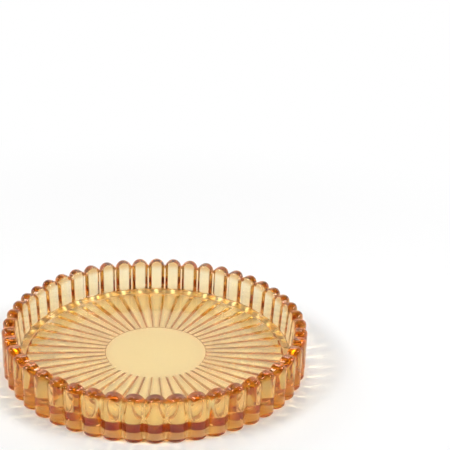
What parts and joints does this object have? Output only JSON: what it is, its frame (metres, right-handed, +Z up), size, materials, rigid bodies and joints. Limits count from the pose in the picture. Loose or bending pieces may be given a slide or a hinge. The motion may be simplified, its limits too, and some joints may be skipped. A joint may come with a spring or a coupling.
{
  "type": "candle plate",
  "caption": "Round shallow plate of pressed glass with a fluted wall, a domed scalloped rim and a ribbed underside; a pillar candle stands on its flat floor.",
  "frame": {"origin": "on the table plane under the centre of the plate, so the foot ring lies at Z = 0", "axes": "+Z up along the plate's axis of rotation; +X and +Y each point at the tip of a wall lobe"},
  "size_m": [0.144, 0.144, 0.021],
  "materials": {
    "amber_glass": "clear amber pressed glass, fire polished and glossy"
  },
  "bodies": {
    "root": {"glass_plate": "amber_glass"}
  },
  "joints": []
}
